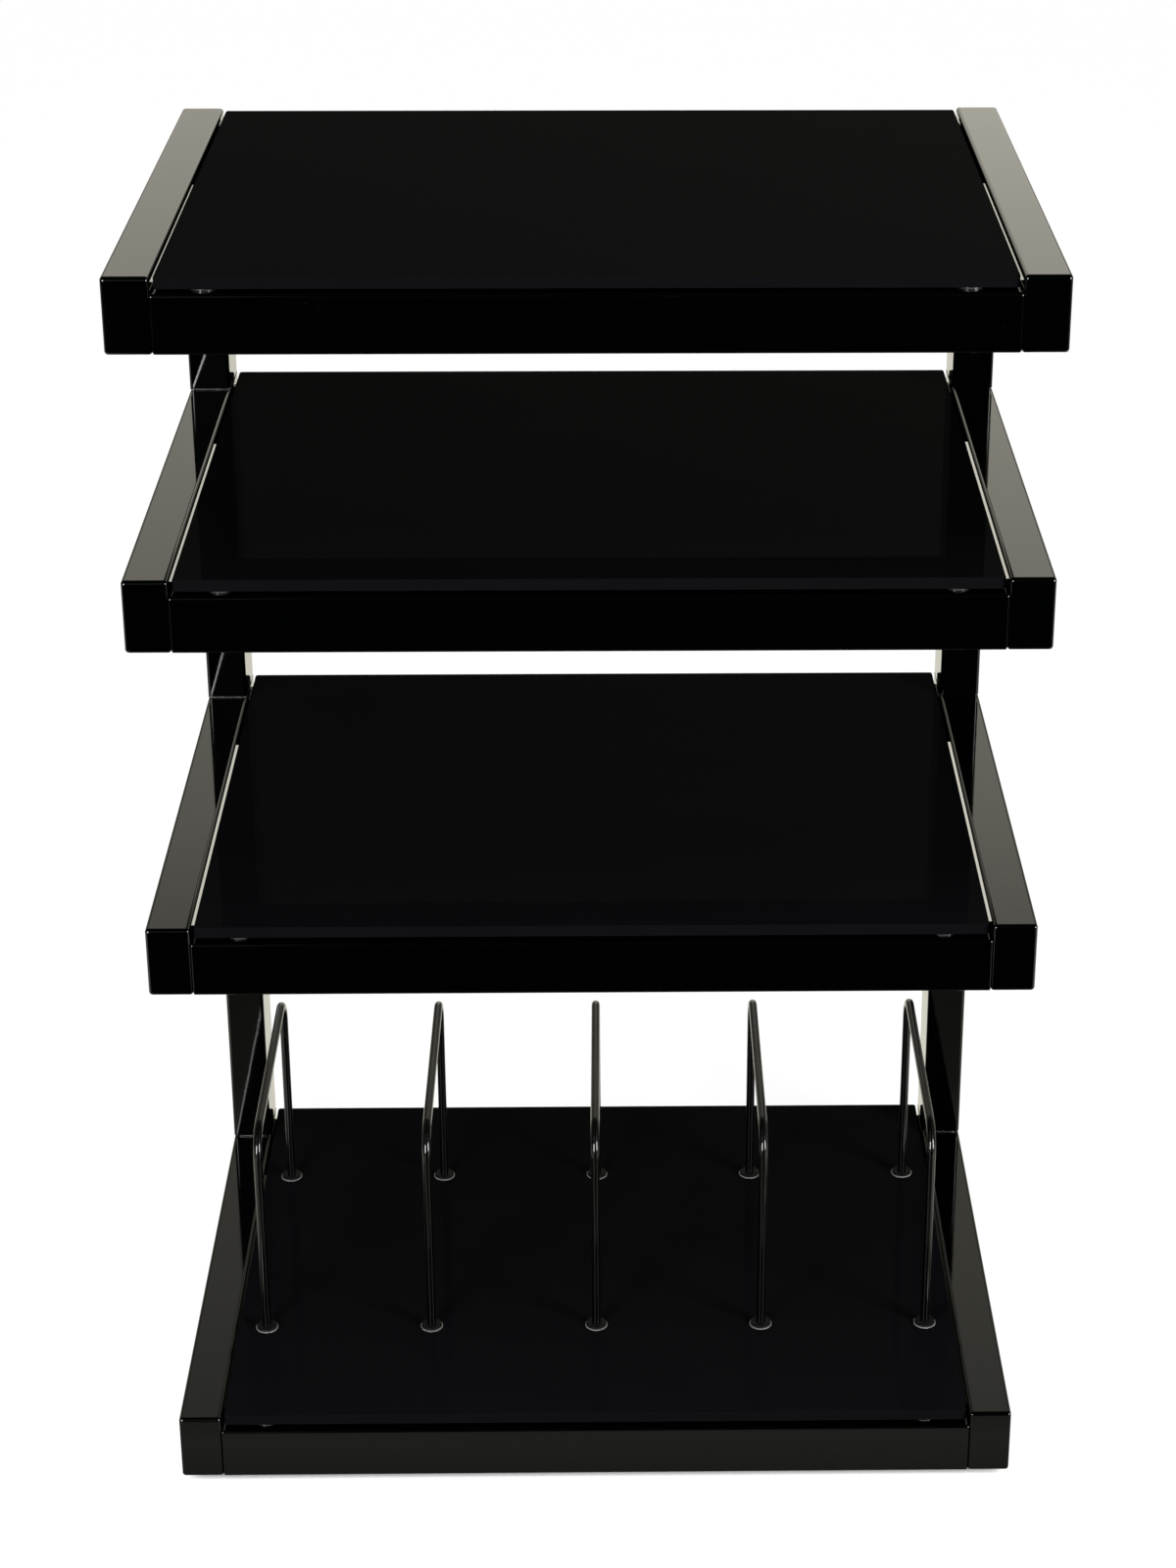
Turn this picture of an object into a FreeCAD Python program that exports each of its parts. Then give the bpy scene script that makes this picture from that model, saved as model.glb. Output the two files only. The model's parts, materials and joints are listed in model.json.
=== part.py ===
"""Four-level rack for hi-fi units and records: tube rails on rear posts, glass shelves, wire dividers.

Frame: millimetres, origin on the floor under the middle of the rack, +X to the right seen from the
front, +Y to the rear, +Z up. Every rail, crossbar and post is a separate tube, bolted to its neighbours.
"""
import FreeCAD, Part
import math
import os
import re

import Sketcher

# Driving sizes, in millimetres
SIZES = {
    # Frame of rectangular steel tube
    "rack_width": 600.0,
    "rack_depth": 445.0,
    "tube_width": 30.0,
    "tube_height": 50.0,
    "tube_wall": 1.5,
    "tube_rounding": 2.5,
    "rail_front_wall": 3.0,
    "rail_plug_depth": 5.0,
    "post_depth": 50.0,
    "lower_bay_height": 345.0,
    "middle_bay_height": 200.0,
    "upper_bay_height": 150.0,
    "shim_thickness": 1.5,
    "shim_inset": 1.0,
    "shim_corner": 5.0,
    "shim_edge": 0.6,
    # Crossbars between the rails, lower than the rails so that the glass lies between these
    "crossbar_drop": 11.0,
    "crossbar_depth": 30.0,
    "crossbar_wall": 1.5,
    "crossbar_rounding": 2.0,
    "crossbar_end_rounding": 1.2,
    # Glass shelves and the silicone pads under them
    "glass_thickness": 8.0,
    "glass_side_gap": 2.0,
    "glass_front_setback": 5.5,
    "glass_rear_setback": 0.5,
    "glass_corner": 2.0,
    "glass_bevel": 0.6,
    "pad_thickness": 1.5,
    "pad_radius": 8.0,
    "pad_end_inset": 32.0,
    "pad_setback": 14.7,
    # Record dividers bent from round rod, with the collars, gaskets, washers and nuts of their legs
    "divider_edge_inset": 20.6,
    "divider_span": 216.0,
    "divider_shift": 4.5,
    "divider_height": 168.0,
    "divider_rod_radius": 3.25,
    "divider_bend": 20.0,
    "collar_radius": 7.6,
    "collar_height": 1.6,
    "collar_rounding": 0.6,
    "gasket_radius": 8.3,
    "gasket_thickness": 0.8,
    "leg_washer_radius": 7.0,
    "leg_washer_thickness": 1.2,
    "leg_nut_across": 11.0,
    "leg_nut_height": 5.2,
    # Bolts, studs, washers and nuts of the posts and feet
    "bolt_radius": 4.0,
    "bolt_head_across": 13.0,
    "bolt_head_height": 5.3,
    "washer_radius": 8.0,
    "washer_thickness": 1.6,
    "nut_height": 6.5,
    "post_plate": 8.0,
    "post_bolt_spacing": 23.0,
    "thread_end": 3.0,
    # Socket screws of the crossbars
    "screw_radius": 3.0,
    "screw_head_radius": 5.0,
    "screw_head_height": 6.0,
    "screw_socket_across": 5.0,
    "screw_socket_depth": 3.0,
    "crossbar_plate": 6.0,
    # Levelling feet
    "foot_height": 5.0,
    "foot_radius": 12.0,
    "foot_taper": 1.0,
    "foot_floor": 1.5,
    "foot_stud_reach": 20.0,
    "foot_front_inset": 30.0,
    "foot_rear_inset": 75.0,
    # Play in holes, and how far a cutting tool runs past what it cuts
    "hole_clearance": 0.5,
    "thread_clearance": 0.05,
    "cut_overrun": 1.0,
}

DIVIDER_COUNT = 5
HEXAGON_SIDES = 6
# A hexagon's corner radius is its width across the flats over the square root of three
ACROSS_TO_CORNER_SHARE = 3 ** -0.5

LEVELS = ("base", "lower", "middle", "top")
BAYS = ("lower", "middle", "upper")
SIDES = {"left": -1, "right": 1}
ENDS = {"front": -1, "rear": 1}

UPRIGHT = FreeCAD.Rotation()
UPSIDE_DOWN = FreeCAD.Rotation(FreeCAD.Vector(1, 0, 0), 180)
ALONG_X = FreeCAD.Rotation(FreeCAD.Vector(0, 1, 0), 90)
AGAINST_X = FreeCAD.Rotation(FreeCAD.Vector(0, 1, 0), -90)

# Places that several pieces share, as expressions in the sizes above
RAIL_X = "(rack_width - tube_width) / 2"
RAIL_GAP = "(rack_width - 2 * tube_width)"
INNER_WIDTH = "(tube_width - 2 * tube_wall)"
INNER_HEIGHT = "(tube_height - 2 * tube_wall)"
CROSSBAR_HEIGHT = "(tube_height - crossbar_drop)"
POST_Y = "(rack_depth - post_depth) / 2"
GLASS_WIDTH = "(rack_width - 2 * tube_width - 2 * glass_side_gap)"
GLASS_DEPTH = "(rack_depth - glass_front_setback - glass_rear_setback)"
GLASS_Y = "(glass_front_setback - glass_rear_setback) / 2"
GLASS_LIFT = "(tube_height - crossbar_drop + pad_thickness)"
BOLT_LENGTH = "(washer_thickness + tube_wall + shim_thickness + post_plate + thread_end)"
STUD_LENGTH = "(tube_height + 2 * (post_plate + thread_end))"
SCREW_LENGTH = "(tube_wall + crossbar_plate + thread_end)"
DIVIDER_TAIL = "(glass_thickness + leg_washer_thickness + leg_nut_height + thread_end)"

doc = FreeCAD.newDocument("record_rack")
nodes = []


def make_sheet():
    """The spreadsheet of driving sizes: name, value, with the name as the value's alias."""
    sheet = doc.addObject("Spreadsheet::Sheet", "sizes")
    for row, (name, value) in enumerate(SIZES.items(), start=1):
        sheet.set(f"A{row}", name)
        sheet.set(f"B{row}", str(value))
        sheet.setAlias(f"B{row}", name)
    doc.recompute()


def cells(words):
    """An expression in plain size names, with each name turned into a reference to the sheet."""
    return re.sub(r"[a-z]\w*", lambda found: "sizes." + found.group(), words)


def value_of(words):
    """The present value of an expression in plain size names, worked out by the sheet."""
    return float(doc.getObject("sizes").evalExpression(cells(words)))


def bind(item, **properties):
    """Tie properties of an object to expressions in the sizes."""
    for name, words in properties.items():
        item.setExpression(name, cells(words))


def place(item, x="0", y="0", z="0", turn=UPRIGHT):
    """Turn an object and tie its position to the sizes."""
    item.Placement = FreeCAD.Placement(FreeCAD.Vector(), turn)
    for axis, words in (("x", x), ("y", y), ("z", z)):
        item.setExpression(f"Placement.Base.{axis}", cells(words))


def keep(item, label):
    """Name a finished sub-part, so that it gets a file of its own."""
    item.Label = label
    nodes.append(item)
    return item


def rail_bottom(level):
    """Height of the underside of a level's rails."""
    return "foot_height" + "".join(f" + tube_height + {bay}_bay_height" for bay in BAYS[:level])


def new_body(name):
    return doc.addObject("PartDesign::Body", name)


def new_sketch(body, name, role, offset="0"):
    """A sketch on one of the body's own origin planes, moved along the plane's normal."""
    sketch = body.newObject("Sketcher::SketchObject", name)
    plane = next(item for item in body.Origin.OriginFeatures if item.Role == role)
    sketch.AttachmentSupport = [(plane, "")]
    sketch.MapMode = "FlatFace"
    sketch.setExpression("AttachmentOffset.Base.z", cells(offset))
    return sketch


def fix_point(sketch, item, end, x, y):
    """Fix a point of a sketch's geometry: on an axis where a coordinate is zero, else at a distance."""
    for kind, words, axis in (("DistanceX", x, -2), ("DistanceY", y, -1)):
        if words == "0":
            sketch.addConstraint(Sketcher.Constraint("PointOnObject", item, end, axis))
        else:
            index = sketch.addConstraint(Sketcher.Constraint(kind, -1, 1, item, end, value_of(words)))
            sketch.setExpression(f"Constraints[{index}]", cells(words))


def set_length(sketch, kind, item, words):
    """Tie a line's length along an axis, or an arc's radius, to the sizes."""
    index = sketch.addConstraint(Sketcher.Constraint(kind, item, value_of(words)))
    sketch.setExpression(f"Constraints[{index}]", cells(words))


def rectangle(sketch, width, height):
    """A rectangle centred on the sketch's origin."""
    right = value_of(width) / 2
    top = value_of(height) / 2
    corners = [(-right, -top), (right, -top), (right, top), (-right, top)]
    points = [FreeCAD.Vector(x, y, 0) for x, y in corners]
    for start, end in zip(points, points[1:] + points[:1]):
        sketch.addGeometry(Part.LineSegment(start, end))
    for item in range(4):
        sketch.addConstraint(Sketcher.Constraint("Coincident", item, 2, (item + 1) % 4, 1))
        sketch.addConstraint(Sketcher.Constraint("Vertical" if item % 2 else "Horizontal", item))
    sketch.addConstraint(Sketcher.Constraint("Symmetric", 0, 1, 2, 1, -1, 1))
    set_length(sketch, "DistanceX", 0, width)
    set_length(sketch, "DistanceY", 1, height)


def circles(sketch, centres, radius):
    """Equal circles at the given places."""
    for x, y in centres:
        centre = FreeCAD.Vector(value_of(x), value_of(y), 0)
        item = sketch.addGeometry(Part.Circle(centre, FreeCAD.Vector(0, 0, 1), value_of(radius)))
        set_length(sketch, "Radius", item, radius)
        fix_point(sketch, item, 3, x, y)


def pad(body, sketch, length, reverse=False, middle=False):
    feature = body.newObject("PartDesign::Pad", sketch.Name + "_pad")
    feature.Profile = sketch
    feature.Reversed = reverse
    feature.Midplane = middle
    bind(feature, Length=length)
    doc.recompute()
    return feature


def pocket(body, sketch, reverse=False):
    """Cut right through what lies behind the sketch, or in front of it when reversed."""
    feature = body.newObject("PartDesign::Pocket", sketch.Name + "_pocket")
    feature.Profile = sketch
    feature.Type = "ThroughAll"
    feature.Reversed = reverse
    return feature


def drill(body, name, role, centres, radius, reverse=False, offset="0"):
    """Round holes from the plane inside the piece through one of its walls."""
    sketch = new_sketch(body, name, role, offset)
    circles(sketch, centres, radius)
    return pocket(body, sketch, reverse)


def soften(body, base, kind, chosen, size):
    """Fillet or chamfer the edges of a feature that a test chooses."""
    names = [f"Edge{index}" for index, edge in enumerate(base.Shape.Edges, start=1) if chosen(edge)]
    feature = body.newObject(f"PartDesign::{kind}", f"{base.Name}_{kind.lower()}")
    feature.Base = (base, names)
    bind(feature, **{"Radius" if kind == "Fillet" else "Size": size})
    doc.recompute()
    return feature


def prism(name, across, height):
    """A hexagonal prism on the origin, by its width across the flats."""
    item = doc.addObject("Part::Prism", name)
    item.Polygon = HEXAGON_SIDES
    bind(item, Circumradius=f"{across} * {ACROSS_TO_CORNER_SHARE}", Height=height)
    return item


def cylinder(name, radius, height, z="0"):
    item = doc.addObject("Part::Cylinder", name)
    bind(item, Radius=radius, Height=height)
    place(item, z=z)
    return item


def cut(name, base, tool):
    item = doc.addObject("Part::Cut", name)
    item.Base = base
    item.Tool = tool
    return item


def fuse(name, base, tool):
    item = doc.addObject("Part::Fuse", name)
    item.Base = base
    item.Tool = tool
    return item


def bored(name, base, radius, height):
    """A piece with a round hole right through it along Z."""
    tool = cylinder(f"{name}_bore", radius, f"{height} + 2 * cut_overrun", z="-cut_overrun")
    return cut(name, base, tool)


def group(label, seed, places):
    """Copies of one piece at several places, as one sub-part of separate solids."""
    copies = []
    for index, (x, y, z, turn) in enumerate(places):
        copy = doc.addObject("App::Link", f"{label}_{index}")
        copy.setLink(seed)
        place(copy, x, y, z, turn)
        copies.append(copy)
    compound = doc.addObject("Part::Compound", label)
    compound.Links = copies
    return keep(compound, label)


def post_holes(body, name, reverse):
    """The pair of post bolt holes in the top or bottom wall of a rail."""
    centre = "rack_depth - post_depth / 2"
    centres = [("0", f"{centre} + {end} * post_bolt_spacing / 2") for end in ENDS.values()]
    drill(body, name, "XY_Plane", centres, "bolt_radius + hole_clearance", reverse)


def make_rail(level, side):
    """A side rail: a tube closed at the front, open at the rear, drilled for what it carries."""
    name = f"{LEVELS[level]}_rail_{side}"
    body = new_body(name)
    section = new_sketch(body, f"{name}_section", "XZ_Plane")
    rectangle(section, "tube_width", "tube_height")
    bar = pad(body, section, "rack_depth", reverse=True)
    half_depth = value_of("rack_depth / 2")
    soften(body, bar, "Fillet", lambda edge: edge.BoundBox.YMin < half_depth, "tube_rounding")
    hollow = new_sketch(body, f"{name}_hollow", "XZ_Plane", "-rail_front_wall")
    rectangle(hollow, INNER_WIDTH, INNER_HEIGHT)
    pocket(body, hollow)

    # The crossbar screws pass the inner wall, and their heads go in through the outer wall
    is_left = SIDES[side] < 0
    screw_centres = [("crossbar_depth / 2", "-crossbar_drop / 2"),
                     ("rack_depth - crossbar_depth / 2", "-crossbar_drop / 2")]
    drill(body, f"{name}_screws", "YZ_Plane", screw_centres, "screw_radius + hole_clearance", is_left)
    drill(body, f"{name}_access", "YZ_Plane", screw_centres, "screw_head_radius + hole_clearance",
          not is_left)

    # Posts stand on every rail but the top one, and under every rail but the base one
    if level < len(LEVELS) - 1:
        post_holes(body, f"{name}_post_above", reverse=True)
    if level > 0:
        post_holes(body, f"{name}_post_below", reverse=False)
    else:
        make_base_holes(body, name)
    place(body, f"{SIDES[side]} * {RAIL_X}", "-rack_depth / 2", f"{rail_bottom(level)} + tube_height / 2")
    keep(body, name)


def make_base_holes(body, name):
    """In the underside of a base rail: ways in to the post bolts, and holes for the feet."""
    centre = "rack_depth - post_depth / 2"
    bolt_ways = [("0", f"{centre} + {end} * post_bolt_spacing / 2") for end in ENDS.values()]
    drill(body, f"{name}_bolt_ways", "XY_Plane", bolt_ways, "washer_radius + hole_clearance")
    feet = [("0", "foot_front_inset"), ("0", "rack_depth - foot_rear_inset")]
    drill(body, f"{name}_feet", "XY_Plane", feet, "bolt_radius + hole_clearance")


def make_post(bay, side):
    """A rear post: a plain tube that stands between two rails."""
    name = f"{BAYS[bay]}_post_{side}"
    body = new_body(name)
    section = new_sketch(body, f"{name}_section", "XY_Plane")
    rectangle(section, "tube_width", "post_depth")
    height = f"{BAYS[bay]}_bay_height" + (" - shim_thickness" if bay == 0 else "")
    bar = pad(body, section, height)
    soften(body, bar, "Fillet", lambda edge: edge.BoundBox.ZLength > 0, "tube_rounding")
    hollow = new_sketch(body, f"{name}_hollow", "XY_Plane")
    rectangle(hollow, INNER_WIDTH, "post_depth - 2 * tube_wall")
    pocket(body, hollow, reverse=True)
    lift = " + shim_thickness" if bay == 0 else ""
    place(body, f"{SIDES[side]} * {RAIL_X}", POST_Y, f"{rail_bottom(bay)} + tube_height{lift}")
    keep(body, name)


def make_crossbar(level, end):
    """A crossbar: a tube between the two rails of a level."""
    name = f"{LEVELS[level]}_crossbar_{end}"
    body = new_body(name)
    section = new_sketch(body, f"{name}_section", "YZ_Plane")
    rectangle(section, "crossbar_depth", CROSSBAR_HEIGHT)
    bar = pad(body, section, RAIL_GAP, middle=True)
    rounded = soften(body, bar, "Fillet", lambda edge: edge.BoundBox.XLength > 0, "crossbar_rounding")
    soften(body, rounded, "Fillet", lambda edge: edge.BoundBox.XLength < value_of("crossbar_end_rounding"),
           "crossbar_end_rounding")
    hollow = new_sketch(body, f"{name}_hollow", "YZ_Plane", f"{RAIL_GAP} / 2")
    rectangle(hollow, "crossbar_depth - 2 * crossbar_wall", f"{CROSSBAR_HEIGHT} - 2 * crossbar_wall")
    pocket(body, hollow)
    place(body, "0", f"{ENDS[end]} * (rack_depth - crossbar_depth) / 2",
          f"{rail_bottom(level)} + {CROSSBAR_HEIGHT} / 2")
    keep(body, name)


def make_glass(level):
    """A glass shelf with bevelled edges; the base one is drilled for the dividers."""
    name = f"{LEVELS[level]}_glass"
    body = new_body(name)
    plan = new_sketch(body, f"{name}_plan", "XY_Plane")
    rectangle(plan, GLASS_WIDTH, GLASS_DEPTH)
    sheet = pad(body, plan, "glass_thickness")
    rounded = soften(body, sheet, "Fillet", lambda edge: not is_level(edge), "glass_corner")
    soften(body, rounded, "Chamfer", is_level, "glass_bevel")
    if level == 0:
        holes = [(x, f"{y} - {GLASS_Y}") for x, y in divider_legs()]
        drill(body, f"{name}_leg_holes", "XY_Plane", holes, "divider_rod_radius + hole_clearance",
              reverse=True)
    place(body, "0", GLASS_Y, f"{rail_bottom(level)} + {GLASS_LIFT}")
    keep(body, name)


def is_level(edge):
    """Whether an edge lies in a level plane."""
    return edge.BoundBox.ZLength < edge.Length / 2


def divider_columns():
    """The sideways place of each divider, evenly spread between the outer two at the sides of the glass."""
    shares = [index / (DIVIDER_COUNT - 1) - 1 / 2 for index in range(DIVIDER_COUNT)]
    return [f"{share} * ({GLASS_WIDTH} - 2 * divider_edge_inset)" for share in shares]


def divider_legs():
    """The places of all divider legs, seen from above."""
    rows = [f"divider_shift + {end} * divider_span / 2" for end in ENDS.values()]
    return [(column, row) for column in divider_columns() for row in rows]


def make_divider(index, column):
    """A divider: round rod bent to an upside-down U, whose ends go down through the glass."""
    name = f"record_divider_{index}"
    body = new_body(name)
    half = "divider_span / 2"
    top = "(divider_height - divider_rod_radius)"
    spine = new_sketch(body, f"{name}_spine", "YZ_Plane")
    draw_hoop(spine, half, top, "divider_bend", DIVIDER_TAIL)
    ring = new_sketch(body, f"{name}_ring", "XY_Plane", f"-{DIVIDER_TAIL}")
    circles(ring, [("0", f"-{half}")], "divider_rod_radius")
    doc.recompute()
    pipe = body.newObject("PartDesign::AdditivePipe", f"{name}_rod")
    pipe.Profile = ring
    pipe.Spine = (spine, [])
    place(body, column, "divider_shift", f"{rail_bottom(0)} + {GLASS_LIFT} + glass_thickness")
    keep(body, name)


def draw_hoop(sketch, half, top, bend, tail):
    """The rod's centre line: up the front leg, round a bend, along the top, round and down again."""
    side = value_of(half)
    crown = value_of(top)
    radius = value_of(bend)
    low = -value_of(tail)
    up = FreeCAD.Vector(0, 0, 1)
    quarter = math.pi / 2
    left_centre = FreeCAD.Vector(radius - side, crown - radius, 0)
    right_centre = FreeCAD.Vector(side - radius, crown - radius, 0)
    left_leg = Part.LineSegment(FreeCAD.Vector(-side, low, 0), FreeCAD.Vector(-side, crown - radius, 0))
    left_bend = Part.ArcOfCircle(Part.Circle(left_centre, up, radius), quarter, 2 * quarter)
    beam = Part.LineSegment(FreeCAD.Vector(radius - side, crown, 0), FreeCAD.Vector(side - radius, crown, 0))
    right_bend = Part.ArcOfCircle(Part.Circle(right_centre, up, radius), 0, quarter)
    right_leg = Part.LineSegment(FreeCAD.Vector(side, crown - radius, 0), FreeCAD.Vector(side, low, 0))
    for item in (left_leg, left_bend, beam, right_bend, right_leg):
        sketch.addGeometry(item)
    # An arc runs from its right end to its left end, so the bends meet their neighbours end to start
    for first, first_end, second, second_end in ((0, 2, 1, 2), (1, 1, 2, 1), (2, 2, 3, 2), (3, 1, 4, 1)):
        sketch.addConstraint(Sketcher.Constraint("Tangent", first, first_end, second, second_end))
    sketch.addConstraint(Sketcher.Constraint("Vertical", 0))
    sketch.addConstraint(Sketcher.Constraint("Horizontal", 2))
    sketch.addConstraint(Sketcher.Constraint("Equal", 1, 3))
    sketch.addConstraint(Sketcher.Constraint("Horizontal", 0, 1, 4, 2))
    set_length(sketch, "Radius", 1, bend)
    fix_point(sketch, 0, 1, f"-{half}", f"-{tail}")
    for words, kind, item, end in ((half, "DistanceX", 4, 2), (top, "DistanceY", 2, 1)):
        index = sketch.addConstraint(Sketcher.Constraint(kind, -1, 1, item, end, value_of(words)))
        sketch.setExpression(f"Constraints[{index}]", cells(words))


def make_collars():
    """Flat collars round the divider legs, each on a clear gasket that keeps it off the glass."""
    glass_top = f"{rail_bottom(0)} + {GLASS_LIFT} + glass_thickness"
    gasket = make_washer("gasket", "gasket_radius", "gasket_thickness", "divider_rod_radius")
    group("collar_gaskets", gasket, [(x, y, glass_top, UPRIGHT) for x, y in divider_legs()])

    seed = new_body("collar")
    plan = new_sketch(seed, "collar_plan", "XY_Plane")
    circles(plan, [("0", "0")], "collar_radius")
    disc = pad(seed, plan, "collar_height")
    top = value_of("collar_height / 2")
    soften(seed, disc, "Fillet", lambda edge: edge.BoundBox.ZMin > top, "collar_rounding")
    drill(seed, "collar_bore", "XY_Plane", [("0", "0")], "divider_rod_radius + thread_clearance", reverse=True)
    group("divider_collars", seed,
          [(x, y, f"{glass_top} + gasket_thickness", UPRIGHT) for x, y in divider_legs()])


def make_washer(name, radius, thickness, bolt):
    """A flat ring that lets a bolt of the given radius through."""
    disc = cylinder(f"{name}_disc", radius, thickness)
    return bored(name, disc, f"{bolt} + hole_clearance", thickness)


def make_nut(name, across, height, bolt):
    """A hexagonal nut on a bolt of the given radius."""
    blank = prism(f"{name}_hexagon", across, height)
    return bored(name, blank, f"{bolt} + thread_clearance", height)


def make_leg_fasteners():
    """Washers and nuts that hold the dividers from under the glass."""
    under = f"{rail_bottom(0)} + {GLASS_LIFT} - leg_washer_thickness"
    washer = make_washer("leg_washer", "leg_washer_radius", "leg_washer_thickness", "divider_rod_radius")
    nut = make_nut("leg_nut", "leg_nut_across", "leg_nut_height", "divider_rod_radius")
    group("divider_washers", washer, [(x, y, under, UPRIGHT) for x, y in divider_legs()])
    group("divider_nuts", nut, [(x, y, f"{under} - leg_nut_height", UPRIGHT) for x, y in divider_legs()])


def make_pads():
    """Clear silicone pads on the crossbars, four under each shelf."""
    pad_disc = cylinder("pad", "pad_radius", "pad_thickness")
    places = []
    for level in range(len(LEVELS)):
        for side in SIDES.values():
            for end in ENDS.values():
                places.append((f"{side} * ({RAIL_GAP} / 2 - pad_end_inset)",
                               f"{end} * (rack_depth / 2 - pad_setback)",
                               f"{rail_bottom(level)} + {CROSSBAR_HEIGHT}", UPRIGHT))
    group("glass_pads", pad_disc, places)


def bolt_places(height, turn):
    """The four places of the post bolts at one height."""
    return [(f"{side} * {RAIL_X}", f"{POST_Y} + {end} * post_bolt_spacing / 2", height, turn)
            for side in SIDES.values() for end in ENDS.values()]


def drilled_plate(name, width, depth, thickness, centres, radius):
    """A flat plate, centred on the origin, with holes right through."""
    body = new_body(name)
    plan = new_sketch(body, f"{name}_plan", "XY_Plane")
    rectangle(plan, width, depth)
    pad(body, plan, thickness)
    drill(body, f"{name}_holes", "XY_Plane", centres, radius, reverse=True)
    return body


def make_shim(centres):
    """A thin plate with round corners and edges, drilled for the post bolts."""
    body = new_body("shim")
    plan = new_sketch(body, "shim_plan", "XY_Plane")
    rectangle(plan, "tube_width - 2 * shim_inset", "post_depth - 2 * shim_inset")
    sheet = pad(body, plan, "shim_thickness")
    rounded = soften(body, sheet, "Fillet", lambda edge: not is_level(edge), "shim_corner")
    soften(body, rounded, "Fillet", is_level, "shim_edge")
    drill(body, "shim_holes", "XY_Plane", centres, "bolt_radius + hole_clearance", reverse=True)
    return body


def make_post_joints():
    """What joins posts and rails: threaded plates in the posts, bolts, studs, washers and shims."""
    pair = [("0", f"{end} * post_bolt_spacing / 2") for end in ENDS.values()]
    plate = drilled_plate("post_plate", INNER_WIDTH, "post_depth - 2 * tube_wall", "post_plate", pair,
                          "bolt_radius + thread_clearance")
    plates = []
    for bay in range(len(BAYS)):
        lift = " + shim_thickness" if bay == 0 else ""
        for side in SIDES.values():
            for height in (f"{rail_bottom(bay)} + tube_height{lift}", f"{rail_bottom(bay + 1)} - post_plate"):
                plates.append((f"{side} * {RAIL_X}", POST_Y, height, UPRIGHT))
    group("post_end_plates", plate, plates)

    base_top = f"{rail_bottom(0)} + tube_height"
    group("post_foot_shims", make_shim(pair),
          [(f"{side} * {RAIL_X}", POST_Y, base_top, UPRIGHT) for side in SIDES.values()])

    head = prism("bolt_head", "bolt_head_across", "bolt_head_height")
    shank = cylinder("bolt_shank", "bolt_radius", BOLT_LENGTH, z="bolt_head_height")
    bolt = fuse("bolt", head, shank)
    washer = make_washer("bolt_washer", "washer_radius", "washer_thickness", "bolt_radius")
    base_seat = f"{base_top} - tube_wall - washer_thickness"
    top_seat = f"{rail_bottom(len(LEVELS) - 1)} + tube_wall + washer_thickness"
    group("post_bolts", bolt, bolt_places(f"{base_seat} - bolt_head_height", UPRIGHT)
          + bolt_places(f"{top_seat} + bolt_head_height", UPSIDE_DOWN))
    group("post_washers", washer, bolt_places(base_seat, UPRIGHT) + bolt_places(top_seat, UPSIDE_DOWN))

    stud = cylinder("stud", "bolt_radius", STUD_LENGTH)
    stud_places = []
    for level in range(1, len(LEVELS) - 1):
        stud_places += bolt_places(f"{rail_bottom(level)} - post_plate - thread_end", UPRIGHT)
    group("post_studs", stud, stud_places)


def make_crossbar_joints():
    """What joins crossbars and rails: threaded plates in the crossbars, socket screws and hole caps."""
    plate = drilled_plate("crossbar_plate", f"{CROSSBAR_HEIGHT} - 2 * crossbar_wall",
                          "crossbar_depth - 2 * crossbar_wall", "crossbar_plate", [("0", "0")],
                          "screw_radius + thread_clearance")
    head = cylinder("screw_head", "screw_head_radius", "screw_head_height", z="-screw_head_height")
    shank = cylinder("screw_shank", "screw_radius", SCREW_LENGTH)
    socket = prism("screw_socket", "screw_socket_across", "screw_socket_depth + cut_overrun")
    place(socket, z="-screw_head_height - cut_overrun")
    screw = cut("screw", fuse("screw_blank", head, shank), socket)
    cap = cylinder("cap", "screw_head_radius + hole_clearance - thread_clearance", "tube_wall")

    plates, screws, caps = [], [], []
    for level in range(len(LEVELS)):
        z = f"{rail_bottom(level)} + {CROSSBAR_HEIGHT} / 2"
        for end in ENDS.values():
            y = f"{end} * (rack_depth - crossbar_depth) / 2"
            for side in SIDES.values():
                inward = AGAINST_X if side > 0 else ALONG_X
                plates.append((f"{side} * {RAIL_GAP} / 2", y, z, inward))
                screws.append((f"{side} * ({RAIL_GAP} / 2 + tube_wall)", y, z, inward))
                caps.append((f"{side} * rack_width / 2", y, z, inward))
    group("crossbar_end_plates", plate, plates)
    group("crossbar_screws", screw, screws)
    group("screw_hole_caps", cap, caps)


def make_rail_plugs():
    """Plastic plugs that close the rear ends of the rails."""
    seed = new_body("rail_plug")
    section = new_sketch(seed, "rail_plug_section", "XZ_Plane")
    rectangle(section, INNER_WIDTH, INNER_HEIGHT)
    pad(seed, section, "rail_plug_depth")
    group("rail_rear_plugs", seed,
          [(f"{side} * {RAIL_X}", "rack_depth / 2", f"{rail_bottom(level)} + tube_height / 2", UPRIGHT)
           for level in range(len(LEVELS)) for side in SIDES.values()])


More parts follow.
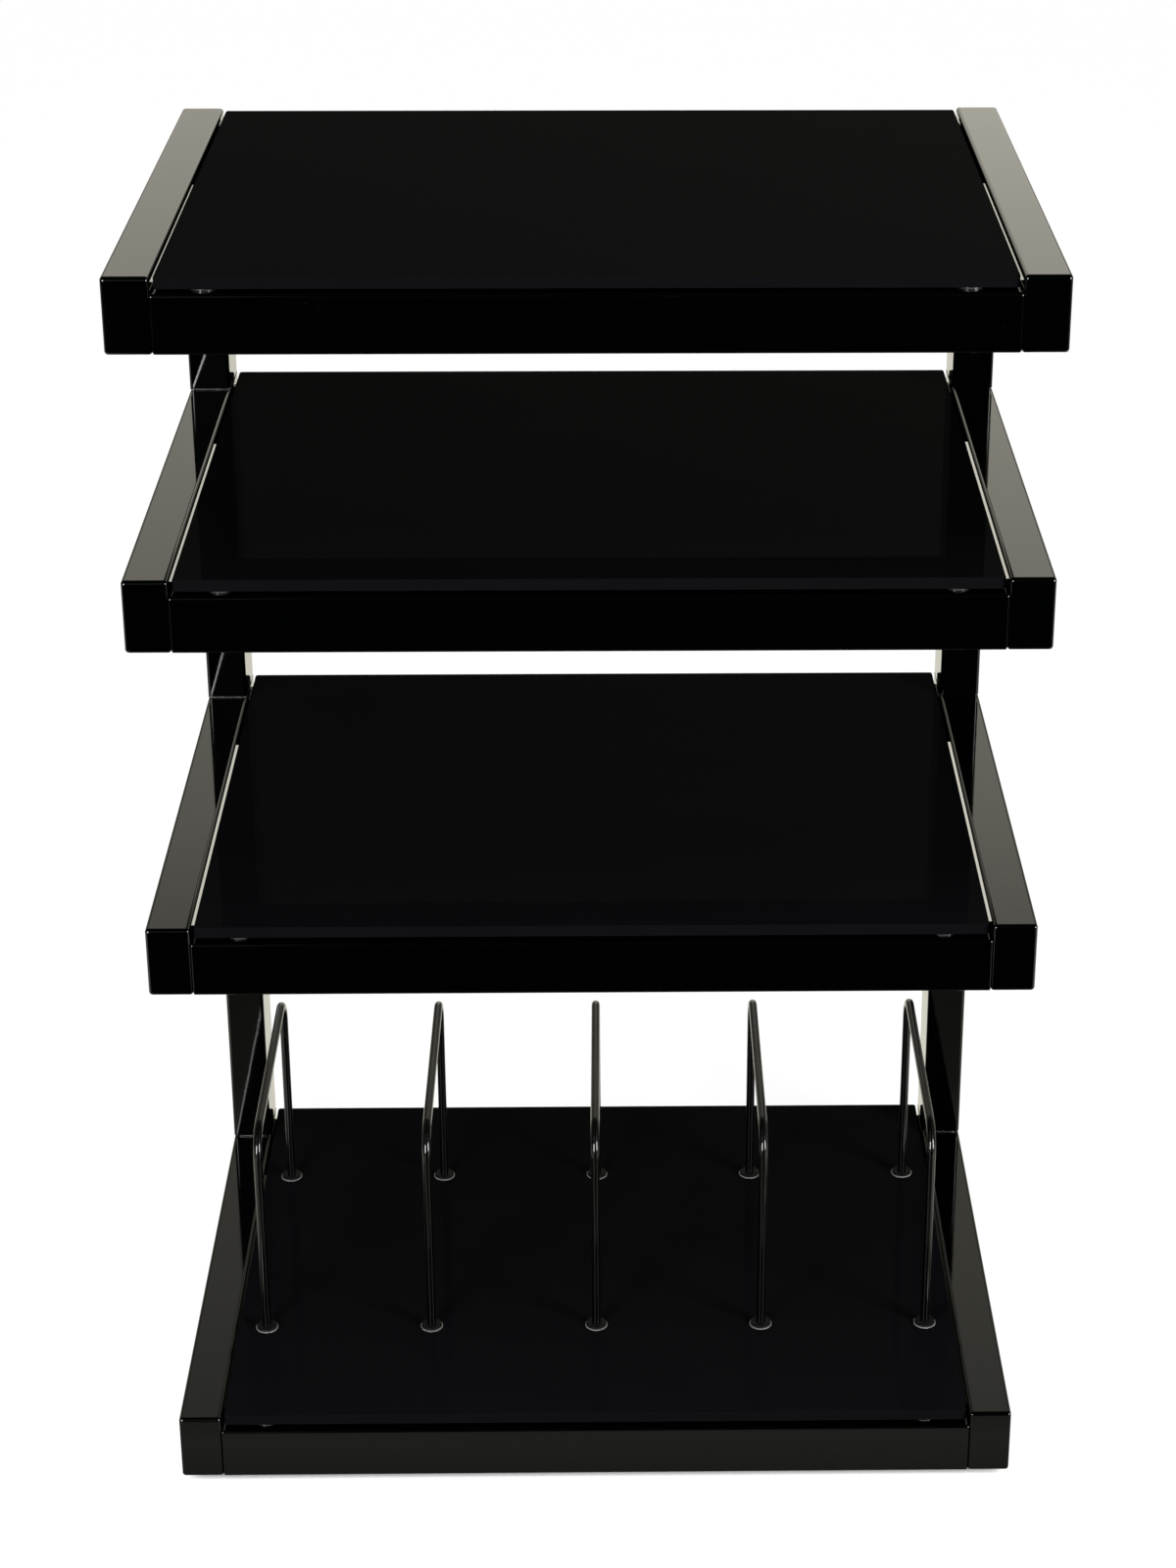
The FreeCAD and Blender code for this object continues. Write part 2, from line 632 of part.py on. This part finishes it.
def make_feet():
    """Levelling feet: a tapered disc on a stud that screws into a nut welded inside the base rail."""
    nut_places = []
    rows = {"front": "foot_front_inset - rack_depth / 2", "rear": "rack_depth / 2 - foot_rear_inset"}
    for side, sign in SIDES.items():
        for end, y in rows.items():
            x = f"{sign} * {RAIL_X}"
            cone = doc.addObject("Part::Cone", f"foot_cone_{end}_{side}")
            bind(cone, Radius1="foot_radius", Radius2="foot_radius - foot_taper", Height="foot_height")
            bore = cylinder(f"foot_bore_{end}_{side}", "bolt_radius + thread_clearance",
                            "foot_height - foot_floor + cut_overrun", z="foot_floor")
            disc = cut(f"foot_disc_{end}_{side}", cone, bore)
            place(disc, x, y)
            keep(disc, f"foot_disc_{end}_{side}")
            stud = cylinder(f"foot_stud_{end}_{side}", "bolt_radius",
                            "foot_height - foot_floor + foot_stud_reach")
            place(stud, x, y, "foot_floor")
            keep(stud, f"foot_stud_{end}_{side}")
            nut_places.append((x, y, f"{rail_bottom(0)} + tube_wall", UPRIGHT))
    weld_nut = make_nut("weld_nut", "bolt_head_across", "nut_height", "bolt_radius")
    group("foot_weld_nuts", weld_nut, nut_places)


def check_document():
    """Stop if any object failed, any sub-part is empty or broken, or any cut took nothing away."""
    for item in doc.Objects:
        if "Invalid" in item.State or "Error" in item.State:
            raise RuntimeError(f"{item.Name} failed: {item.State}")
        if item.TypeId == "PartDesign::Pocket" and item.Shape.Volume >= item.BaseFeature.Shape.Volume:
            raise RuntimeError(f"{item.Name} cuts nothing")
    for item in nodes:
        if item.Shape.isNull() or not item.Shape.isValid() or not item.Shape.Solids:
            raise RuntimeError(f"{item.Label} has no valid solid")


def write_parts():
    os.makedirs("parts", exist_ok=True)
    for item in nodes:
        item.Shape.exportStep(f"parts/{item.Label}.step")
        print(item.Label, len(item.Shape.Solids), "solids", round(item.Shape.Volume), "mm3")


make_sheet()
for level_index in range(len(LEVELS)):
    for side_name in SIDES:
        make_rail(level_index, side_name)
    for end_name in ENDS:
        make_crossbar(level_index, end_name)
    make_glass(level_index)
for bay_index in range(len(BAYS)):
    for side_name in SIDES:
        make_post(bay_index, side_name)
for number, place_across in enumerate(divider_columns(), start=1):
    make_divider(number, place_across)
make_collars()
make_leg_fasteners()
make_pads()
make_post_joints()
make_crossbar_joints()
make_rail_plugs()
make_feet()
doc.recompute()
check_document()
write_parts()
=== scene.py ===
"""Looks of the record storage rack: materials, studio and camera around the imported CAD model."""
import json
import math

import bpy
from mathutils import Matrix, Vector

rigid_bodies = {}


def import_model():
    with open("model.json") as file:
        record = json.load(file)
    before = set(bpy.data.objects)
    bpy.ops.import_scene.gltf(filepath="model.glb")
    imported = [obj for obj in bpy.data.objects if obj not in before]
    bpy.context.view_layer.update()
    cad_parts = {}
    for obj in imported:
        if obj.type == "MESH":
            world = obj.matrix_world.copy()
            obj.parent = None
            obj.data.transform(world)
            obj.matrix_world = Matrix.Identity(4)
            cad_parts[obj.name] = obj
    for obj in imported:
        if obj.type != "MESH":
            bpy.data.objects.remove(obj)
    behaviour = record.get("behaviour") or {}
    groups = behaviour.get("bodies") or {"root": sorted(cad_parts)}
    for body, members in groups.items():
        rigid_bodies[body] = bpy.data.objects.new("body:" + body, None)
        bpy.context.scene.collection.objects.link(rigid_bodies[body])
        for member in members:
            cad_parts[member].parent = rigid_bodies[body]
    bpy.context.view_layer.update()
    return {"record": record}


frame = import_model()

SCENE = bpy.context.scene

# The camera fitted to the photo: its place in metres, its turns in radians, and in pixels of the photo its
# focal length and the middle of its view, which is off the middle of the photo
CAMERA_PLACE = (0.014085, -2.213391, 1.471224)
CAMERA_YAW = 0.01671
CAMERA_PITCH = 0.42703
CAMERA_ROLL = 0.00237
CAMERA_REACH = 100
FOCAL_PIXELS = 3397.32
VIEW_MIDDLE = (676.67, 787.09)
PHOTO_SIZE = (1200, 1600)
SENSOR_HEIGHT = 36

WARM_WHITE = (1.0, 0.97, 0.83, 1)
WHITE = (1, 1, 1, 1)
DUST_GREY = (0.20, 0.20, 0.19, 1)
PALE_DUST = (0.30, 0.30, 0.29, 1)
# The grey of the painted highlight in the seams at the feet of the upper left posts
SEAM_HIGHLIGHT_GREY = (0.11, 0.11, 0.105, 1)

# The seams at the feet of the upper posts, where a painted highlight is drawn: the height of the middle of
# each light line, just over the rail's top, and how far from the middle the line starts to thin and ends
SEAM_HEIGHTS = (0.45055, 0.70055)
SEAM_REACH = (0.00045, 0.0005)

# The middle of what a noise texture gives, where a spread over its values starts and ends
NOISE_MIDDLE = (0.3, 0.7)

# How bright mirrors see the backdrop, by the height of their aim, and the floor, from front to rear
BACKDROP_LEVELS = [(0.0, 1.06), (0.225, 1.045), (0.342, 0.90), (0.423, 0.81), (0.492, 0.48), (0.545, 0.45),
                   (0.643, 0.20), (0.766, 0.05), (1.0, 0.02)]
FLOOR_LEVELS = [(0.0, 0.003), (0.28, 0.01), (0.40, 0.10), (0.455, 0.315), (0.52, 0.13), (0.62, 0.16),
                (0.80, 1.0)]
FLOOR_FRONT = -1.0
FLOOR_REAR = 0.6
FLOOR_HALF = 9
FLOOR_GLOW = 0.94
FLOOR_PAINT = 0.16
SHADOW_REACH = 0.3
# The floor at the rack's sides is light around this place along Y
SIDE_MIDDLE = -0.25
DIM_SIDE = 0.22

# Lamps: what they aim at, the places of the two soft boxes, and then name, whether mirrors see the lamp or
# only dull surfaces do, watts, width, height and place
LAMP_TARGET = (0, -0.1, 0.45)
BOX_LEFT = (-1.15, -2.10, 0.92)
BOX_RIGHT = (1.81, -1.52, 0.92)
LAMPS = (
    ("box_left", True, 95, 0.80, 1.15, BOX_LEFT),
    ("box_right", True, 95, 0.80, 1.15, BOX_RIGHT),
    ("spill_left", True, 0.4, 0.60, 1.20, (-0.72, -2.30, 1.20)),
    ("fill_left", False, 52, 0.80, 1.15, BOX_LEFT),
    ("fill_right", False, 62, 0.80, 1.15, BOX_RIGHT),
)
SKY_PLACE = (-0.5, -1.0, 4.0)
SKY_STRENGTH = 0.85
SKY_WIDTH = math.radians(40)


def add_to_scene(name, data):
    thing = bpy.data.objects.new(name, data)
    SCENE.collection.objects.link(thing)
    return thing


def make_camera():
    across, down = math.cos(CAMERA_PITCH), math.sin(CAMERA_PITCH)
    ahead = Vector((math.sin(CAMERA_YAW) * across, math.cos(CAMERA_YAW) * across, -down))
    right = Vector((math.cos(CAMERA_YAW), -math.sin(CAMERA_YAW), 0))
    up = right.cross(ahead)
    turn, lean = math.cos(CAMERA_ROLL), math.sin(CAMERA_ROLL)
    axes = Matrix((right * turn + up * lean, up * turn - right * lean, -ahead)).transposed()
    data = bpy.data.cameras.new("photo_camera")
    data.sensor_fit = "VERTICAL"
    data.sensor_height = SENSOR_HEIGHT
    data.lens = FOCAL_PIXELS * SENSOR_HEIGHT / PHOTO_SIZE[1]
    data.shift_x = (PHOTO_SIZE[0] / 2 - VIEW_MIDDLE[0]) / PHOTO_SIZE[1]
    data.shift_y = (VIEW_MIDDLE[1] - PHOTO_SIZE[1] / 2) / PHOTO_SIZE[1]
    data.clip_end = CAMERA_REACH
    camera = add_to_scene("photo_camera", data)
    camera.matrix_world = Matrix.Translation(CAMERA_PLACE) @ axes.to_4x4()
    SCENE.camera = camera


class Nodes:
    """A node tree with short ways to add and join nodes."""

    def __init__(self, tree):
        self.tree = tree
        tree.nodes.clear()

    def add(self, kind, values=(), **settings):
        node = self.tree.nodes.new(kind)
        for key, value in settings.items():
            setattr(node, key, value)
        for socket, value in dict(values).items():
            self.give(node.inputs[socket], value)
        return node

    def give(self, socket, value):
        if isinstance(value, bpy.types.NodeSocket):
            self.tree.links.new(value, socket)
        else:
            socket.default_value = value

    def math(self, operation, first, second=0.0):
        return self.add("ShaderNodeMath", {0: first, 1: second}, operation=operation).outputs[0]

    def product(self, first, *others):
        for other in others:
            first = self.math("MULTIPLY", first, other)
        return first

    def size_of(self, value):
        return self.math("ABSOLUTE", value)

    def ramp(self, factor, stops):
        """A ramp of grey levels over a factor; stops are (place, level)."""
        node = self.add("ShaderNodeValToRGB", {"Fac": factor})
        elements = node.color_ramp.elements
        while len(elements) < len(stops):
            elements.new(0.5)
        for element, (place, level) in zip(elements, stops):
            element.position = place
            element.color = (level, level, level, 1)
        return node.outputs["Color"]

    def spread(self, value, before, after, smooth=False):
        """Maps a range of values, (low, high), to another."""
        node = self.add("ShaderNodeMapRange", {"Value": value, "From Min": before[0], "From Max": before[1],
                                               "To Min": after[0], "To Max": after[1]})
        node.interpolation_type = "SMOOTHSTEP" if smooth else "LINEAR"
        return node.outputs["Result"]

    def noise(self, where, scale, detail=2.0, roughness=0.5):
        return self.add("ShaderNodeTexNoise", {"Vector": where, "Scale": scale, "Detail": detail,
                                               "Roughness": roughness}).outputs["Fac"]

    def cells(self, where, scale):
        return self.add("ShaderNodeTexVoronoi", {"Vector": where, "Scale": scale}).outputs["Distance"]

    def specks(self, where, scale, size, patches, amount):
        """Dots of dust in patches: they come in over the range amount of the patches' noise."""
        dots = self.spread(self.cells(where, scale), (0.0, size), (1.0, 0.0))
        return self.product(dots, self.spread(patches, amount, (0.0, 1.0)))

    def stretched(self, where, scale):
        return self.add("ShaderNodeMapping", {"Vector": where, "Scale": scale}).outputs["Vector"]

    def blend(self, factor, first, second):
        node = self.add("ShaderNodeMix", {"Factor": factor}, data_type="RGBA")
        self.give(node.inputs[6], first)
        self.give(node.inputs[7], second)
        return node.outputs[2]

    def bump(self, height, depth, below=None):
        node = self.add("ShaderNodeBump", {"Height": height, "Distance": depth, "Strength": 1.0})
        if below is not None:
            self.give(node.inputs["Normal"], below)
        return node.outputs["Normal"]

    def place(self):
        return self.add("ShaderNodeTexCoord").outputs["Object"]

    def parts_of(self, vector):
        return self.add("ShaderNodeSeparateXYZ", {0: vector}).outputs


def new_material(name):
    material = bpy.data.materials.new(name)
    material.use_nodes = True
    return material, Nodes(material.node_tree)


def finish_surface(nodes, **values):
    """Ends a material in a Principled shader with the values given by socket name."""
    named = {key.replace("_", " "): value for key, value in values.items()}
    shader = nodes.add("ShaderNodeBsdfPrincipled", named)
    nodes.add("ShaderNodeOutputMaterial", {"Surface": shader.outputs["BSDF"]})


def shade(tone, factor):
    return tuple(factor * part for part in tone) + (1,)


def seam_highlight(nodes, where):
    """A painted highlight: a broken light line in the seam at the foot of each upper left post, standing in
    for a lamp's reflection.
    """
    spot = nodes.parts_of(where)
    line = 0.0
    for height in SEAM_HEIGHTS:
        off = nodes.size_of(nodes.math("ADD", spot["Z"], -height))
        line = nodes.math("ADD", nodes.spread(off, SEAM_REACH, (1.0, 0.0)), line)
    left = nodes.spread(spot["X"], (-0.01, 0.0), (1.0, 0.0))
    broken = nodes.spread(nodes.noise(where, scale=180), (0.35, 0.6), (0.35, 1.0))
    return nodes.product(line, left, broken)


def lacquer(name, tone, ground=0.0):
    """Gloss black lacquer on steel: orange peel, a slow wave, uneven gloss, a little dust and, without
    ground, a painted highlight in the seams of the upper left posts.

    Ground is the strength of the shine of ground rod under it, whose fine rings smear light along the rod."""
    material, nodes = new_material(name)
    where = nodes.place()
    peel = nodes.noise(where, scale=420)
    wave = nodes.noise(where, scale=28)
    cloud = nodes.noise(where, scale=9, detail=4, roughness=0.6)
    dusty = nodes.noise(where, scale=55, detail=1)
    specks = nodes.specks(where, scale=330, size=0.07, patches=dusty, amount=(0.52, 0.68))
    black = nodes.blend(cloud, shade(tone, 0.6), shade(tone, 1.4))
    colour = nodes.blend(nodes.product(specks, 0.25), black, DUST_GREY)
    normal = nodes.bump(peel, 0.000004, nodes.bump(wave, 0.000025))
    if ground:
        around = nodes.add("ShaderNodeTangent", direction_type="RADIAL", axis="Z").outputs["Tangent"]
        finish_surface(nodes, Base_Color=colour, Roughness=nodes.spread(cloud, NOISE_MIDDLE, (0.33, 0.39)),
                       IOR=1.45, Specular_IOR_Level=ground, Anisotropic=0.95, Anisotropic_Rotation=0.25,
                       Tangent=around, Normal=normal, Coat_Weight=0.7, Coat_Roughness=0.03, Coat_IOR=1.45,
                       Coat_Normal=normal)
    else:
        # Painted highlight: a light grey line in the seams at the feet of the upper left posts, on the left
        # only
        colour = nodes.blend(seam_highlight(nodes, where), colour, SEAM_HIGHLIGHT_GREY)
        fine = nodes.noise(where, scale=2600, detail=1)
        uneven = nodes.spread(cloud, NOISE_MIDDLE, (0.015, 0.05))
        grainy = nodes.math("ADD", uneven, nodes.product(fine, 0.02))
        gloss = nodes.math("ADD", grainy, nodes.product(specks, 0.3))
        finish_surface(nodes, Base_Color=colour, Roughness=gloss, IOR=1.45, Normal=normal)
    return material


def shelf_glass():
    """Glass backed with black: almost no colour of its own, a weak sharp mirror, faint smears and dust."""
    material, nodes = new_material("shelf_glass")
    where = nodes.place()
    smear = nodes.noise(nodes.stretched(where, (3, 11, 3)), scale=4, detail=5, roughness=0.6)
    dusty = nodes.noise(where, scale=30)
    specks = nodes.specks(where, scale=210, size=0.045, patches=dusty, amount=(0.50, 0.70))
    black = nodes.blend(smear, (0.0036, 0.0037, 0.0044, 1), (0.0051, 0.0052, 0.0061, 1))
    colour = nodes.blend(nodes.product(specks, 0.05), black, PALE_DUST)
    finish_surface(nodes, Base_Color=colour, Roughness=nodes.spread(smear, NOISE_MIDDLE, (0.04, 0.12)),
                   Specular_IOR_Level=0.0, Coat_Weight=0.014, Coat_Roughness=0.02, Coat_IOR=1.5,
                   Normal=nodes.bump(nodes.noise(where, scale=600), 0.000002))
    return material


def silicone():
    """Clear soft pads: milky, a little see-through, with a fine moulded skin."""
    material, nodes = new_material("pad_silicone")
    where = nodes.place()
    cloud = nodes.noise(where, scale=160, detail=3)
    skin = nodes.noise(where, scale=2200)
    finish_surface(nodes, Base_Color=nodes.blend(cloud, (0.70, 0.71, 0.69, 1), (0.84, 0.85, 0.83, 1)),
                   Roughness=nodes.spread(skin, NOISE_MIDDLE, (0.12, 0.22)), Transmission_Weight=0.95,
                   IOR=1.41, Normal=nodes.bump(skin, 0.00002))
    return material


def nylon():
    """Milky grey nylon washers with a fine turned finish."""
    material, nodes = new_material("gasket_nylon")
    where = nodes.place()
    cloud = nodes.noise(where, scale=240, detail=3)
    skin = nodes.noise(nodes.stretched(where, (1, 1, 6)), scale=900)
    finish_surface(nodes, Base_Color=nodes.blend(cloud, (0.17, 0.17, 0.165, 1), (0.25, 0.25, 0.24, 1)),
                   Roughness=nodes.spread(skin, NOISE_MIDDLE, (0.25, 0.4)), IOR=1.53,
                   Normal=nodes.bump(skin, 0.00002))
    return material


def zinc():
    """Zinc-plated steel: grey spangle, drawn lines and small dull patches."""
    material, nodes = new_material("zinc_steel")
    where = nodes.place()
    spangle = nodes.spread(nodes.cells(where, scale=420), (0.0, 0.6), (0.0, 1.0))
    lines = nodes.noise(nodes.stretched(where, (1, 1, 9)), scale=700, detail=3)
    patch = nodes.noise(where, scale=130, detail=4, roughness=0.65)
    bright = nodes.blend(spangle, (0.70, 0.70, 0.68, 1), (0.52, 0.52, 0.51, 1))
    dulled = nodes.spread(patch, (0.45, 0.60), (0.0, 0.85))
    finish_surface(nodes, Base_Color=nodes.blend(dulled, bright, (0.16, 0.155, 0.14, 1)), Metallic=1.0,
                   Roughness=nodes.spread(patch, NOISE_MIDDLE, (0.20, 0.46)),
                   Normal=nodes.bump(lines, 0.00003, nodes.bump(patch, 0.0008)))
    return material


def plastic():
    """Moulded black plastic with a fine eroded grain."""
    material, nodes = new_material("black_plastic")
    where = nodes.place()
    grain = nodes.cells(where, scale=1500)
    cloud = nodes.noise(where, scale=60, detail=3)
    finish_surface(nodes, Base_Color=nodes.blend(cloud, (0.003, 0.003, 0.003, 1), (0.007, 0.007, 0.007, 1)),
                   Roughness=nodes.spread(cloud, NOISE_MIDDLE, (0.42, 0.58)), Specular_IOR_Level=0.05,
                   Normal=nodes.bump(grain, 0.00005))
    return material


def dress():
    """Gives every CAD node the material of its slot in the record."""
    looks = {
        "frame_black": lacquer("frame_black", (0.0002, 0.0003, 0.0003)),
        "divider_black": lacquer("divider_black", (0.0004, 0.0004, 0.0004), ground=0.085),
        "shelf_glass": shelf_glass(),
        "pad_silicone": silicone(),
        "gasket_nylon": nylon(),
        "zinc_steel": zinc(),
        "black_plastic": plastic(),
    }
    for subpart in frame["record"]["subparts"]:
        for slot in bpy.data.objects[subpart["node"]].material_slots:
            slot.material = looks[subpart["material_slot"]]


def make_world():
    """White to the camera; other rays see a warm white backdrop behind the rack that darkens upwards."""
    world = bpy.data.worlds.new("studio")
    SCENE.world = world
    world.use_nodes = True
    nodes = Nodes(world.node_tree)
    ray = nodes.add("ShaderNodeLightPath").outputs
    aim = nodes.parts_of(nodes.add("ShaderNodeTexCoord").outputs["Generated"])
    height = nodes.ramp(aim["Z"], BACKDROP_LEVELS)
    behind = nodes.spread(aim["Y"], (-0.35, 0.15), (0.03, 1.0), smooth=True)
    aside = nodes.spread(nodes.size_of(aim["X"]), (0.18, 0.30), (1.0, DIM_SIDE), smooth=True)
    lean = nodes.spread(aim["X"], (-0.10, 0.10), (1.0, 1.28))
    level = nodes.product(height, behind, aside, lean)
    seen = nodes.add("ShaderNodeBackground", {"Color": WHITE, "Strength": 1.0}).outputs[0]
    mirrored = nodes.add("ShaderNodeBackground", {"Color": WARM_WHITE, "Strength": level}).outputs[0]
    mix = nodes.add("ShaderNodeMixShader", {0: ray["Is Camera Ray"], 1: mirrored, 2: seen})
    nodes.add("ShaderNodeOutputWorld", {"Surface": mix.outputs[0]})


def floor_level(nodes):
    """How bright mirrors see the floor: dark in front, light behind the rack and at its sides."""
    spot = nodes.parts_of(nodes.add("ShaderNodeNewGeometry").outputs["Position"])
    sideways = nodes.size_of(spot["X"])
    along = nodes.ramp(nodes.spread(spot["Y"], (FLOOR_FRONT, FLOOR_REAR), (0.0, 1.0)), FLOOR_LEVELS)
    aside = nodes.spread(sideways, (0.32, 0.55), (1.0, DIM_SIDE), smooth=True)
    beside = nodes.spread(sideways, (0.40, 0.46), (0.0, 1.0), smooth=True)
    from_middle = nodes.size_of(nodes.math("ADD", spot["Y"], -SIDE_MIDDLE))
    near = nodes.spread(from_middle, (0.35, 0.60), (0.9, 0.0), smooth=True)
    return nodes.math("MAXIMUM", nodes.product(along, aside), nodes.product(beside, near))


def make_floor():
    """A pale floor: white to the camera apart from the rack's shadow, painted into its glow by ambient
    occlusion, and darker in front for the mirrors.
    """
    mesh = bpy.data.meshes.new("floor")
    corners = [(x * FLOOR_HALF, y * FLOOR_HALF, 0) for x, y in ((-1, -1), (1, -1), (1, 1), (-1, 1))]
    mesh.from_pydata(corners, [], [(0, 1, 2, 3)])
    floor = add_to_scene("floor", mesh)
    material, nodes = new_material("floor")
    mesh.materials.append(material)
    ray = nodes.add("ShaderNodeLightPath").outputs
    level = floor_level(nodes)
    # Painted shadow: ambient occlusion dims the floor's glow under and around the rack
    around = nodes.add("ShaderNodeAmbientOcclusion", {"Distance": SHADOW_REACH}, samples=8).outputs["AO"]
    clear = nodes.spread(around, (0.02, 0.30), (0.0, 1.0), smooth=True)
    mirrors = nodes.math("MAXIMUM", ray["Is Glossy Ray"], ray["Is Transmission Ray"])
    seen = nodes.math("ADD", nodes.product(ray["Is Camera Ray"], FLOOR_GLOW), nodes.product(mirrors, level))
    tint = nodes.blend(ray["Is Camera Ray"], WARM_WHITE, WHITE)
    light = nodes.add("ShaderNodeEmission", {"Color": tint, "Strength": nodes.product(seen, clear)})
    pale = nodes.product(nodes.math("MAXIMUM", ray["Is Camera Ray"], level), FLOOR_PAINT)
    paint = nodes.add("ShaderNodeBsdfDiffuse", {"Color": pale})
    both = nodes.add("ShaderNodeAddShader", {0: light.outputs[0], 1: paint.outputs[0]})
    nodes.add("ShaderNodeOutputMaterial", {"Surface": both.outputs[0]})


def aim_at(thing, place, target):
    thing.location = place
    thing.rotation_euler = (Vector(target) - Vector(place)).to_track_quat("-Z", "Y").to_euler()


def make_lights():
    sky = bpy.data.lights.new("sky", "SUN")
    sky.energy = SKY_STRENGTH
    sky.angle = SKY_WIDTH
    lamp = add_to_scene("sky", sky)
    aim_at(lamp, SKY_PLACE, (0, 0, 0))
    lamp.visible_glossy = False
    for name, mirrored, watts, width, height, place in LAMPS:
        box = bpy.data.lights.new(name, "AREA")
        box.shape = "RECTANGLE"
        box.size = width
        box.size_y = height
        box.energy = watts
        lamp = add_to_scene(name, box)
        lamp.visible_glossy = mirrored
        lamp.visible_diffuse = not mirrored
        aim_at(lamp, place, LAMP_TARGET)


SCENE.view_settings.view_transform = "Standard"
make_camera()
dress()
make_world()
make_floor()
make_lights()
